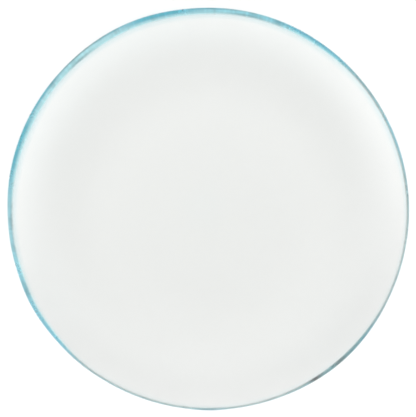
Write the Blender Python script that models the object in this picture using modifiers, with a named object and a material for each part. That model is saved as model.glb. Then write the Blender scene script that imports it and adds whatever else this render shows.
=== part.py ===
"""Watch glass: one round, shallow dish of clear glass, standing on a small flat under its middle.

Metres, +Z up. The origin is the middle of that flat, and the dish is turned about the Z axis.
"""

import math

import bpy

DIAMETER = 0.100         # across the outside of the edge
UNDERSIDE_RADIUS = 0.110  # of the sphere that the underside follows
WALL = 0.0018            # thickness of the glass, the same from the middle to the edge
EDGE_ROUNDING = 0.0003   # of the two corners of the edge, which is ground square to the wall
REST_RADIUS = 0.006      # of the flat that it stands on

FACETS_AROUND = 96
FACETS_ACROSS = 10       # from the middle to the edge, on each side of the wall
FACETS_IN_CORNER = 3
MERGE_DISTANCE = 0.00001  # well under the shortest facet
SHARP_ANGLE = math.radians(50)  # softer bends than this are shaded smooth

GLASS_COLOUR = (0.80, 0.93, 0.93, 1.0)
GLASS_ROUGHNESS = 0.02
GLASS_BEND = 1.52        # refractive index of soda-lime glass


def clear_scene():
    for old in list(bpy.data.objects):
        bpy.data.objects.remove(old, do_unlink=True)


def out_from(centre, radius, angle):
    """The point this far from the centre, at an angle that turns from straight down towards +X."""
    x, z = centre
    return x + radius * math.sin(angle), z - radius * math.cos(angle)


def arc(centre, radius, start, end, facets):
    """Points along an arc, without the last one, which is the first of what follows it."""
    return [
        out_from(centre, radius, start + (end - start) * step / facets)
        for step in range(facets)
    ]


def dish_profile():
    """Half the dish's section, from the axis along the hollow, round the edge and back underneath."""
    ball = (0.0, math.sqrt(UNDERSIDE_RADIUS**2 - REST_RADIUS**2))
    hollow_radius = UNDERSIDE_RADIUS - WALL
    to_outer_corner = UNDERSIDE_RADIUS - EDGE_ROUNDING
    to_inner_corner = hollow_radius + EDGE_ROUNDING

    # Each corner's centre stands back from the edge's ground face by the rounding.
    outer_corner_angle = math.asin((DIAMETER / 2 - EDGE_ROUNDING) / to_outer_corner)
    edge_angle = outer_corner_angle + math.asin(EDGE_ROUNDING / to_outer_corner)
    inner_corner_angle = edge_angle - math.asin(EDGE_ROUNDING / to_inner_corner)
    inner_corner = out_from(ball, to_inner_corner, inner_corner_angle)
    outer_corner = out_from(ball, to_outer_corner, outer_corner_angle)
    rest_angle = math.asin(REST_RADIUS / UNDERSIDE_RADIUS)
    into_hollow = inner_corner_angle + math.pi
    off_edge = edge_angle + math.pi / 2

    return (
        arc(ball, hollow_radius, 0.0, inner_corner_angle, FACETS_ACROSS)
        + arc(inner_corner, EDGE_ROUNDING, into_hollow, off_edge, FACETS_IN_CORNER)
        + [out_from(inner_corner, EDGE_ROUNDING, off_edge)]
        + arc(outer_corner, EDGE_ROUNDING, off_edge, outer_corner_angle, FACETS_IN_CORNER)
        + arc(ball, UNDERSIDE_RADIUS, outer_corner_angle, rest_angle, FACETS_ACROSS)
        + [(REST_RADIUS, 0.0), (0.0, 0.0)]
    )


def turned(name, profile, collection):
    """A solid turned about Z from a profile on the +X side."""
    mesh = bpy.data.meshes.new(name)
    links = [(i, i + 1) for i in range(len(profile) - 1)]
    mesh.from_pydata([(x, 0.0, z) for x, z in profile], links, [])
    solid = bpy.data.objects.new(name, mesh)
    collection.objects.link(solid)
    screw = solid.modifiers.new("turn", "SCREW")
    screw.steps = screw.render_steps = FACETS_AROUND
    screw.use_merge_vertices = True
    screw.merge_threshold = MERGE_DISTANCE
    bpy.context.view_layer.objects.active = solid
    solid.select_set(True)
    bpy.ops.object.modifier_apply(modifier=screw.name)
    solid.data.shade_smooth()
    solid.data.set_sharp_from_angle(angle=SHARP_ANGLE)
    return solid


def clear_glass():
    glass = bpy.data.materials.new("clear_glass")
    glass.use_nodes = True
    glass.diffuse_color = GLASS_COLOUR
    shader = glass.node_tree.nodes["Principled BSDF"]
    shader.inputs["Base Color"].default_value = GLASS_COLOUR
    shader.inputs["Roughness"].default_value = GLASS_ROUGHNESS
    shader.inputs["Metallic"].default_value = 0.0
    shader.inputs["IOR"].default_value = GLASS_BEND
    shader.inputs["Transmission Weight"].default_value = 1.0
    return glass


def main():
    clear_scene()
    collection = bpy.data.collections.new("watch_glass")
    bpy.context.scene.collection.children.link(collection)
    dish = turned("watch_glass", dish_profile(), collection)
    dish.data.materials.append(clear_glass())


main()
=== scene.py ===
import math

import bmesh
import bpy
from mathutils import Matrix, Vector


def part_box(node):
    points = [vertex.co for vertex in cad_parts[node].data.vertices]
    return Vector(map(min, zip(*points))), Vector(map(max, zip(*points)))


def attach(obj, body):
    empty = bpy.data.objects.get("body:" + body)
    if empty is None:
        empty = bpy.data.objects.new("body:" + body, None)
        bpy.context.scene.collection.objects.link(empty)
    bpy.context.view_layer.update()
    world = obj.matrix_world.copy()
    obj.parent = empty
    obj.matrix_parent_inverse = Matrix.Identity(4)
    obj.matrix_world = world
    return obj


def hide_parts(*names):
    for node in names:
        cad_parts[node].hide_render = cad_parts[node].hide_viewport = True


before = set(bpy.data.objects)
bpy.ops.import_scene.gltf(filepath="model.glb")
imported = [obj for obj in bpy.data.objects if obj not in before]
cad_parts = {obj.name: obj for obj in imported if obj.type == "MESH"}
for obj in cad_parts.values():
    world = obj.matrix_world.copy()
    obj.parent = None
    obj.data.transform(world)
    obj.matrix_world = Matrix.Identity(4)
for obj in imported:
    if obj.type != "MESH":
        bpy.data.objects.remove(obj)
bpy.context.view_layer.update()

# ---------------------------------------------------------------------------
# Sizes, in metres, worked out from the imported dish
# ---------------------------------------------------------------------------

low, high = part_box("watch_glass")
RIM_RADIUS = (high.x - low.x) / 2
DISH_HEIGHT = high.z - low.z

WALL = 0.0018              # thickness of the glass
REST_RADIUS = 0.006        # of the flat under the middle
EDGE_ROUNDING = 0.0003     # of the two softened corners of the edge

# The edge was ground by hand, so it isn't quite round and its ground face isn't the same width all
# round. Angles are in degrees from +X, towards +Y. Each bump or stretch has its middle, then how far
# it reaches each way, then how much it adds there, in metres where it moves the glass.
LONG_WAY = 127.0           # the direction in which the dish is widest
OUT_OF_ROUND = 0.00028     # and how far its edge falls short of the full radius on either side of it
OUTLINE_BUMPS = (
    (70.0, 32.0, 0.00021),
    (114.0, 24.0, 0.00025),
    (181.0, 12.0, -0.00011),
    (209.0, 15.0, 0.00031),
    (226.0, 16.0, 0.00015),
    (270.0, 8.0, 0.00013),
    (312.0, 26.0, 0.00037),
)
NARROW_FACE = 0.00076      # the ground face, seen from above, where it is narrowest
WIDER_STRETCHES = (
    (60.0, 24.0, 0.00030),
    (20.0, 22.0, 0.00010),
    (115.0, 85.0, 0.00095),
    (158.0, 25.0, 0.00046),
    (186.0, 30.0, 0.00040),
    (210.0, 26.0, 0.00052),
    (270.0, 9.0, 0.00010),
)
FULL_AQUA = 0.0004         # how much wider the face is than that where its grey has turned to aqua
# How deep the teal of the face is: the same three, then the share of the face that it covers,
# counted from the outer corner.
TEAL_STRETCHES = (
    (21.0, 10.0, 0.30, 0.80),
    (38.0, 10.0, 0.30, 0.80),
    (59.0, 22.0, 0.88, 0.68),
    (83.0, 9.0, 0.50, 0.25),
    (91.5, 11.0, 1.00, 0.40),
    (104.0, 20.0, 1.00, 0.84),
    (117.0, 13.0, 0.80, 0.42),
    (134.0, 20.0, 0.75, 0.26),
    (147.0, 16.0, 0.95, 0.54),
    (161.0, 20.0, 1.00, 0.80),
    (197.0, 9.0, 0.40, 0.32),
    (211.0, 20.0, 0.66, 1.00),
    (270.0, 6.0, 0.25, 0.90),
)
TEAL_FADES = 0.55, 1.30    # shares of that share between which the teal fades out
TEAL_PLATEAU = 1.3         # above 1, so that the middle of a stretch is all equally deep
PALE_STRETCHES = ((184.0, 14.0, 0.9),)
SLATE_STRETCHES = ((270.0, 7.0, 0.675), (314.0, 22.0, 1.275))
DARK_SPOTS = (
    (2.0, 15.0, 0.24),
    (18.0, 12.0, 0.12),
    (172.0, 9.0, 0.10),
    (270.0, 6.0, 0.25),
    (302.3, 3.6, 1.2),
    (310.8, 3.6, 0.80),
    (334.0, 11.0, 0.22),
)
# Painted shade: thin dark lines along the two corners of the face.
INNER_LINES = ((80.0, 16.0, 0.55), (130.0, 9.0, 0.68), (182.0, 14.0, 0.40))
OUTER_LINES = ((5.0, 42.0, 0.42), (83.0, 16.0, 0.50), (129.0, 19.0, 1.05), (270.0, 80.0, 0.28))
INNER_LINE_PLACE = 0.9     # how far across the face the inner line lies
OUTER_LINE, INNER_LINE = 0.00042, 0.00030    # how far the lines reach
HALO = 0.0017              # how far in from the face the hollow carries the face's colour as painted light
HALO_SIDE, HALO_REACH = 103.0, 118.0         # on which side of the dish it shows, and how far round
HALO_PLATEAU = 2.4         # above 1, so that it is full over most of that side
LEAST_HALO, SHORTEST_HALO = 0.62, 0.50       # the share of its strength and reach elsewhere
RELIEF_START = 0.88        # the grinding leaves the dish alone inside this share of its radius,
RELIEF_END = 0.955         # and moves all of it outside this one
CORNER_BLEND = 0.04        # share of the wall over which the ground finish turns to the polished one

STEPS_AROUND = 384
STEPS_ACROSS = 46          # from the middle towards the edge, on each side of the wall
STEPS_NEAR_EDGE = 14       # and in the narrow ring next to the edge
NEAR_EDGE = 0.955          # where that ring starts, as a share of the radius
STEPS_IN_CORNER = 8
STEPS_ON_EDGE = 8
MERGE_DISTANCE = 0.000002

FLOOR_GAP = 0.00005        # keeps the floor and the flat from lying in one plane
FLOOR_SIZE = 10.0

# ---------------------------------------------------------------------------
# Colours
# ---------------------------------------------------------------------------

WHITE = (1.0, 1.0, 1.0, 1.0)
FLOOR_WHITE = (0.9, 0.9, 0.9, 1.0)
CLEAR = (0.8325, 0.834, 0.8235, 1.0)    # through the wall
PAINTED_EDGE_LIGHT = (0.54, 0.71, 0.74, 1.0)        # painted light on the hollow next to the edge, in the aqua of the light along the glass
DEEP_GLASS = (0.40, 0.86, 0.93, 1.0)    # what light turns to inside the glass,
DEPTH = 8.0                             # and how soon, per metre
# Colours of the ground face, partly the glass's own teal and partly painted light: light that leaves
# by it has come along the wall from the far side.
AQUA = (0.315, 0.755, 0.845, 1.0)
PALE = (0.55, 0.72, 0.75, 1.0)
TEAL = (0.016, 0.265, 0.40, 1.0)
GREY = (0.27, 0.275, 0.245, 1.0)
SLATE = (0.058, 0.158, 0.170, 1.0)
# painted shade along the corners of the face
DARK_LINE = (0.024, 0.095, 0.125, 1.0)
NEARLY_BLACK = (0.014, 0.010, 0.009, 1.0)
# The marks that the grinding left across the face, and the dull patches between them.
STREAK_SPACING = 0.0007
PATCHES_PER_METRE = 260.0
UNMARKED, LIGHTER, DARKER = 0.95, 0.22, 0.38    # brightness, and what a mark or a patch changes it by
POLISH, DULLER = 0.22, 0.14                     # roughness of the face, and of its patches
BEND = 1.52                                     # index of refraction


# ---------------------------------------------------------------------------
# Shader maths
# ---------------------------------------------------------------------------

class Socket:
    """One output of a node, with the arithmetic that the materials use."""

    def __init__(self, nodes, output):
        self.nodes = nodes
        self.output = output

    def _math(self, operation, *values):
        settings = {"operation": operation}
        return self.nodes.node("ShaderNodeMath", settings, dict(enumerate(values)))

    def __add__(self, other):
        return self._math("ADD", self, other)

    __radd__ = __add__

    def __sub__(self, other):
        return self._math("SUBTRACT", self, other)

    def __rsub__(self, other):
        return self._math("SUBTRACT", other, self)

    def __mul__(self, other):
        return self._math("MULTIPLY", self, other)

    __rmul__ = __mul__

    def round_from(self, across):
        """The angle round the axis of a point this far up and that far across."""
        return self._math("ARCTAN2", self, across)

    def along(self, direction):
        """How far this vector points in the given direction."""
        settings = {"operation": "DOT_PRODUCT"}
        values = {0: self, 1: direction}
        return self.nodes.node("ShaderNodeVectorMath", settings, values, take="Value")

    def ramp(self, start, end):
        """0 up to start and 1 from end on, eased between them."""
        settings = {"interpolation_type": "SMOOTHSTEP"}
        values = {"Value": self, "From Min": start, "From Max": end}
        return self.nodes.node("ShaderNodeMapRange", settings, values)


class Nodes:
    """The node tree of one material or of the world."""

    def __init__(self, tree):
        self.tree = tree

    def node(self, kind, settings=None, values=None, take=0):
        """Adds a node, its settings first, then the values or links of its sockets."""
        made = self.tree.nodes.new(kind)
        for name, value in (settings or {}).items():
            setattr(made, name, value)
        for name, value in (values or {}).items():
            if isinstance(value, Socket):
                self.tree.links.new(value.output, made.inputs[name])
            else:
                made.inputs[name].default_value = value
        return Socket(self, made.outputs[take]) if len(made.outputs) else made

    def painted(self, name, take="Fac"):
        """What the mesh carries under this name."""
        return self.node("ShaderNodeAttribute", {"attribute_name": name}, take=take)

    def mix_colour(self, amount, first, second):
        settings = {"data_type": "RGBA", "blend_type": "MIX"}
        return self.node("ShaderNodeMix", settings, {0: amount, 6: first, 7: second}, take=2)


def new_material(name):
    material = bpy.data.materials.new(name)
    material.use_nodes = True
    material.node_tree.nodes.clear()
    return material, Nodes(material.node_tree)


# ---------------------------------------------------------------------------
# The dish
# ---------------------------------------------------------------------------

def out_from(centre, radius, angle):
    """The point this far from the centre, at an angle that turns from straight down towards +X."""
    return Vector((centre.x + radius * math.sin(angle), 0.0, centre.z - radius * math.cos(angle)))


def arc(centre, radius, start, end, steps):
    return [out_from(centre, radius, start + (end - start) * i / steps) for i in range(steps + 1)]


FLATTEST, ROUNDEST = 4.0, 1.2    # bounds on the underside's radius, in rim radii
HALVINGS = 60


def sphere_under(rim_radius, height, wall, rounding, flat_radius):
    """Radius of the underside's sphere for which the rounded edge reaches the given height."""

    def top(radius):
        ball = math.sqrt(radius**2 - flat_radius**2)
        outer = math.asin((rim_radius - rounding) / (radius - rounding))
        edge = outer + math.asin(rounding / (radius - rounding))
        inner_reach = radius - wall + rounding
        inner = edge - math.asin(rounding / inner_reach)
        return ball - inner_reach * math.cos(inner) + rounding

    flattest, roundest = FLATTEST * rim_radius, ROUNDEST * rim_radius
    for _ in range(HALVINGS):
        middle = (flattest + roundest) / 2
        if top(middle) > height:
            roundest = middle
        else:
            flattest = middle
    return middle


UNDERSIDE = sphere_under(RIM_RADIUS, DISH_HEIGHT, WALL, EDGE_ROUNDING, REST_RADIUS)
BALL_HEIGHT = math.sqrt(UNDERSIDE**2 - REST_RADIUS**2)


def dish_section():
    """Half the dish's section, from the axis along the hollow, round the edge and back underneath."""
    hollow = UNDERSIDE - WALL
    ball = Vector((0.0, 0.0, BALL_HEIGHT))
    outer_reach = UNDERSIDE - EDGE_ROUNDING
    inner_reach = hollow + EDGE_ROUNDING
    outer_angle = math.asin((RIM_RADIUS - EDGE_ROUNDING) / outer_reach)
    edge_angle = outer_angle + math.asin(EDGE_ROUNDING / outer_reach)
    inner_angle = edge_angle - math.asin(EDGE_ROUNDING / inner_reach)
    rest_angle = math.asin(REST_RADIUS / UNDERSIDE)
    off_edge = edge_angle + math.pi / 2
    inner_corner = out_from(ball, inner_reach, inner_angle)
    outer_corner = out_from(ball, outer_reach, outer_angle)
    near_angle = NEAR_EDGE * edge_angle
    section = arc(ball, hollow, 0.0, near_angle, STEPS_ACROSS)
    section += arc(ball, hollow, near_angle, inner_angle, STEPS_NEAR_EDGE)[1:]
    inner_turn = inner_angle + math.pi
    section += arc(inner_corner, EDGE_ROUNDING, inner_turn, off_edge, STEPS_IN_CORNER)[1:]
    face_end = out_from(outer_corner, EDGE_ROUNDING, off_edge)
    section += [section[-1].lerp(face_end, i / STEPS_ON_EDGE) for i in range(1, STEPS_ON_EDGE)]
    section += arc(outer_corner, EDGE_ROUNDING, off_edge, outer_angle, STEPS_IN_CORNER)
    section += arc(ball, UNDERSIDE, outer_angle, near_angle, STEPS_NEAR_EDGE)[1:]
    section += arc(ball, UNDERSIDE, near_angle, rest_angle, STEPS_ACROSS)[1:]
    section.append(Vector((0.0, 0.0, 0.0)))
    return section


def eased(value):
    """0 up to 0 and 1 from 1 on, with a smooth rise between them."""
    value = max(0.0, min(1.0, value))
    return value * value * (3.0 - 2.0 * value)


def apart(angle, other):
    """Degrees between two directions, the short way round."""
    return abs((angle - other + 180.0) % 360.0 - 180.0)


def stretched(stretches, angle):
    """What the stretches add up to at an angle in degrees."""
    return sum(
        amount * eased(1.0 - apart(angle, middle) / reach) for middle, reach, amount in stretches
    )


def outline_move(angle):
    """How far outside the full radius the outline is; below 0 where it is inside."""
    oval = OUT_OF_ROUND * (1.0 - math.cos(math.radians(2.0 * (angle - LONG_WAY))))
    return stretched(OUTLINE_BUMPS, angle) - oval


def face_width(angle):
    return NARROW_FACE + stretched(WIDER_STRETCHES, angle)


def blend(first, second, share):
    """The first colour with this share of the second."""
    share = max(0.0, min(1.0, share))
    return tuple(a + (b - a) * share for a, b in zip(first, second))


def face_teal(angle, inward):
    """Depth of the teal at an angle, and this share of the way in from the outer corner."""
    start, stop = TEAL_FADES
    deepest = 0.0
    for middle, reach, amount, end in TEAL_STRETCHES:
        across = 1.0 - eased((inward / end - start) / (stop - start))
        along = eased(TEAL_PLATEAU * (1.0 - apart(angle, middle) / reach))
        deepest = max(deepest, amount * across * along)
    return deepest


def line(away, reach):
    """1 on a line, fading to 0 between half its reach and one and a half times that."""
    return 1.0 - eased(away / reach - 0.5)


def face_colour(angle, inward, width):
    """Colour of the ground face at an angle, and this share of the way in from its outer corner: the
    glass's own teal with painted light and shade.
    """
    colour = blend(GREY, AQUA, eased((width - NARROW_FACE) / FULL_AQUA))
    colour = blend(colour, PALE, stretched(PALE_STRETCHES, angle))
    colour = blend(colour, TEAL, face_teal(angle, inward))
    colour = blend(colour, SLATE, stretched(SLATE_STRETCHES, angle))
    # Painted shade along the two corners of the face.
    lines = stretched(OUTER_LINES, angle) * line(inward * width, OUTER_LINE)
    from_inner = abs(inward - INNER_LINE_PLACE) * width
    lines += stretched(INNER_LINES, angle) * line(from_inner, INNER_LINE)
    colour = blend(colour, DARK_LINE, lines)
    return blend(colour, NEARLY_BLACK, stretched(DARK_SPOTS, angle))


def grind_edge(shape):
    """Moves both corners of the turned edge to where the grinding left them, and colours its face and
    the hollow next to it, partly with painted light and shade.
    """
    ground = shape.verts.layers.float.new("ground")
    halo = shape.verts.layers.float.new("halo")
    face = shape.verts.layers.float_color.new("face")
    full_width = RIM_RADIUS * WALL / UNDERSIDE
    for vert in shape.verts:
        radius = math.hypot(vert.co.x, vert.co.y)
        if radius < RELIEF_START * RIM_RADIUS:
            continue
        angle = math.degrees(math.atan2(vert.co.y, vert.co.x))
        width = face_width(angle)
        outer_move = outline_move(angle)
        inner_move = min(0.0, outer_move + full_width - width)
        from_ball = math.hypot(radius, BALL_HEIGHT - vert.co.z)
        outward = max(0.0, min(1.0, (from_ball - UNDERSIDE + WALL) / WALL))
        share = eased((radius / RIM_RADIUS - RELIEF_START) / (RELIEF_END - RELIEF_START))
        move = share * (inner_move + outward * (outer_move - inner_move))
        ground_radius = radius + move
        climb = math.sqrt(from_ball**2 - radius**2) - math.sqrt(from_ball**2 - ground_radius**2)
        vert.co.x *= 1.0 + move / radius
        vert.co.y *= 1.0 + move / radius
        vert.co.z = min(vert.co.z + climb, DISH_HEIGHT)
        inward = 1.0 - outward
        inner_corner = RIM_RADIUS - full_width + inner_move
        # Painted light: the face's colour carried onto the hollow just inside it, fullest on one side
        # of the dish.
        side = eased(HALO_PLATEAU * (1.0 - apart(angle, HALO_SIDE) / HALO_REACH))
        reach = HALO * (SHORTEST_HALO + (1.0 - SHORTEST_HALO) * side)
        strength = LEAST_HALO + (1.0 - LEAST_HALO) * side
        vert[ground] = eased(outward / CORNER_BLEND) * eased(inward / CORNER_BLEND)
        vert[halo] = strength * eased(1.0 - (inner_corner - ground_radius) / reach) * inward
        vert[face] = face_colour(angle, inward, width)


def turned_dish():
    mesh = bpy.data.meshes.new("dish")
    shape = bmesh.new()
    corners = [shape.verts.new(point) for point in dish_section()]
    edges = [shape.edges.new(pair) for pair in zip(corners, corners[1:])]
    bmesh.ops.spin(
        shape, geom=corners + edges, cent=(0, 0, 0), axis=(0, 0, 1), dvec=(0, 0, 0),
        angle=2 * math.pi, steps=STEPS_AROUND, use_merge=True,
    )
    bmesh.ops.remove_doubles(shape, verts=shape.verts, dist=MERGE_DISTANCE)
    grind_edge(shape)
    bmesh.ops.recalc_face_normals(shape, faces=shape.faces)
    shape.to_mesh(mesh)
    shape.free()
    mesh.shade_smooth()
    dish = bpy.data.objects.new("dish", mesh)
    bpy.context.scene.collection.objects.link(dish)
    return dish


# ---------------------------------------------------------------------------
# Materials
# ---------------------------------------------------------------------------

def clear_glass():
    material, nodes = new_material("clear_glass")
    place = nodes.node("ShaderNodeTexCoord", take="Object")
    across = nodes.node("ShaderNodeSeparateXYZ", {}, {0: place}, take="X")
    up = nodes.node("ShaderNodeSeparateXYZ", {}, {0: place}, take="Y")
    round_edge = up.round_from(across) * (RIM_RADIUS / STREAK_SPACING)

    strokes = {"W": round_edge, "Scale": 1.0, "Detail": 2.0}
    streaks = nodes.node("ShaderNodeTexNoise", {"noise_dimensions": "1D"}, strokes)
    grain = {"Vector": place, "Scale": PATCHES_PER_METRE, "Detail": 2.0}
    patches = nodes.node("ShaderNodeTexNoise", {}, grain)
    marks = UNMARKED + LIGHTER * streaks.ramp(0.45, 0.75) - DARKER * patches.ramp(0.50, 0.72)
    # The ground face's colour, partly painted light and shade, scaled by the grinding marks.
    face = {0: nodes.painted("face", take="Color"), "Scale": marks}
    face = nodes.node("ShaderNodeVectorMath", {"operation": "SCALE"}, face)

    ground = nodes.painted("ground")
    # The hollow next to the edge gets its painted light here.
    wall = nodes.mix_colour(nodes.painted("halo"), CLEAR, PAINTED_EDGE_LIGHT)
    depth = nodes.node("ShaderNodeVolumeAbsorption", {}, {"Color": DEEP_GLASS, "Density": DEPTH})
    shader = nodes.node("ShaderNodeBsdfPrincipled", {}, {
        "Base Color": nodes.mix_colour(ground, wall, face),
        "Roughness": ground * (POLISH + DULLER * patches),
        "IOR": BEND,
        "Transmission Weight": 1.0,
    })
    nodes.node("ShaderNodeOutputMaterial", {}, {"Surface": shader, "Volume": depth})
    return material


def plain_floor():
    material, nodes = new_material("white_floor")
    shader = nodes.node("ShaderNodeBsdfPrincipled", {}, {
        "Base Color": FLOOR_WHITE, "Roughness": 1.0, "Specular IOR Level": 0.0,
    })
    nodes.node("ShaderNodeOutputMaterial", {}, {"Surface": shader})
    return material


# ---------------------------------------------------------------------------
# Camera, floor and light
# ---------------------------------------------------------------------------

VIEW_DIRECTION = math.radians(115)   # the side of the dish that the camera leans to, from +X
VIEW_LEAN = math.radians(6)          # off straight down
LENS = 200.0                         # millimetres, on a 36 mm wide sensor
SENSOR = 36.0
FRAME_FILL = 406.5 / 417.0           # the dish's width as a share of the taller side of the picture
AIM_LEFT, AIM_UP = 0.00026, 0.00064  # of the middle of the rim, so that the dish is centred
CAMERA_SEES = 20.0                   # metres


def make_camera():
    data = bpy.data.cameras.new("camera")
    data.lens = LENS
    data.sensor_width = SENSOR
    camera = bpy.data.objects.new("camera", data)
    bpy.context.scene.collection.objects.link(camera)
    distance = LENS / SENSOR * 2 * RIM_RADIUS / FRAME_FILL
    aim = Vector((0.0, 0.0, DISH_HEIGHT))
    lean = Vector((math.cos(VIEW_DIRECTION), math.sin(VIEW_DIRECTION), 0.0)) * math.sin(VIEW_LEAN)
    back = lean + Vector((0.0, 0.0, math.cos(VIEW_LEAN)))
    up = Vector((0.0, 1.0, 0.0))
    right = up.cross(back).normalized()
    up = back.cross(right)
    turn = Matrix((right, up, back)).transposed()
    aim += up * AIM_UP - right * AIM_LEFT
    camera.matrix_world = Matrix.Translation(aim + back * distance) @ turn.to_4x4()
    data.clip_end = CAMERA_SEES
    bpy.context.scene.camera = camera


def make_floor():
    mesh = bpy.data.meshes.new("floor")
    shape = bmesh.new()
    bmesh.ops.create_grid(shape, x_segments=1, y_segments=1, size=FLOOR_SIZE)
    bmesh.ops.translate(shape, verts=shape.verts, vec=(0.0, 0.0, low.z - FLOOR_GAP))
    shape.to_mesh(mesh)
    shape.free()
    floor = bpy.data.objects.new("floor", mesh)
    bpy.context.scene.collection.objects.link(floor)
    mesh.materials.append(plain_floor())


# Surroundings, as a share of full white. The dish is a shallow mirror: its middle shows what is
# straight above, and its rim what stands about 50 degrees off straight up, on the far side.
CEILING = 1.70             # the diffuser overhead
GAP = 1.15                 # between it and the panels
PANELS = 2.40              # soft panels on three sides
OPEN_SIDE = 0.20           # the side without one
WALLS = 1.02               # round the table
PANEL_SIDE = math.radians(276)
PANEL_ENDS = 0.42          # how far past square to that side the panels fade out
# Degrees off straight up between which one gives way to the next.
WALLS_TO_PANELS = 66, 58
PANELS_TO_GAP = 47, 36
GAP_TO_CEILING = 36, 24
CEILING_SHARE = 0.5        # how much of the camera's lean the diffuser follows


def off_upright(*degrees):
    """The cosines of these angles off straight up."""
    return tuple(math.cos(math.radians(angle)) for angle in degrees)


def mirrored(share):
    """Straight up, tipped by this share of the camera's lean to the side away from the camera."""
    lean = VIEW_LEAN * share
    away = -math.sin(lean)
    return (math.cos(VIEW_DIRECTION) * away, math.sin(VIEW_DIRECTION) * away, math.cos(lean))


def make_world():
    world = bpy.data.worlds.new("studio")
    world.use_nodes = True
    world.node_tree.nodes.clear()
    nodes = Nodes(world.node_tree)
    way = nodes.node("ShaderNodeTexCoord")
    rise = way.along(mirrored(1.0))
    over = way.along(mirrored(CEILING_SHARE))
    side = way.along((math.cos(PANEL_SIDE), math.sin(PANEL_SIDE), 0.0))
    ring = OPEN_SIDE + (PANELS - OPEN_SIDE) * side.ramp(-PANEL_ENDS, PANEL_ENDS)
    strength = WALLS + (ring - WALLS) * rise.ramp(*off_upright(*WALLS_TO_PANELS))
    strength = strength + (GAP - strength) * rise.ramp(*off_upright(*PANELS_TO_GAP))
    strength = strength + (CEILING - strength) * over.ramp(*off_upright(*GAP_TO_CEILING))
    sky = nodes.node("ShaderNodeBackground", {}, {"Color": WHITE, "Strength": strength})
    nodes.node("ShaderNodeOutputWorld", {}, {"Surface": sky})
    bpy.context.scene.world = world


MOST_BOUNCES = 256


def set_picture():
    scene = bpy.context.scene
    scene.view_settings.view_transform = "Standard"
    scene.view_settings.look = "None"
    # Light that enters by the edge turns back many times inside the wall before it leaves.
    scene.cycles.max_bounces = MOST_BOUNCES
    scene.cycles.transmission_bounces = MOST_BOUNCES
    scene.cycles.glossy_bounces = MOST_BOUNCES
    scene.cycles.filter_width = 2.0
    scene.cycles.blur_glossy = 0.0   # so that the glass passes on all the light that falls on it


# ---------------------------------------------------------------------------
# Putting it together
# ---------------------------------------------------------------------------

dish = turned_dish()
dish.data.materials.append(clear_glass())
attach(dish, "root")
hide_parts("watch_glass")

make_floor()
make_world()
make_camera()
set_picture()
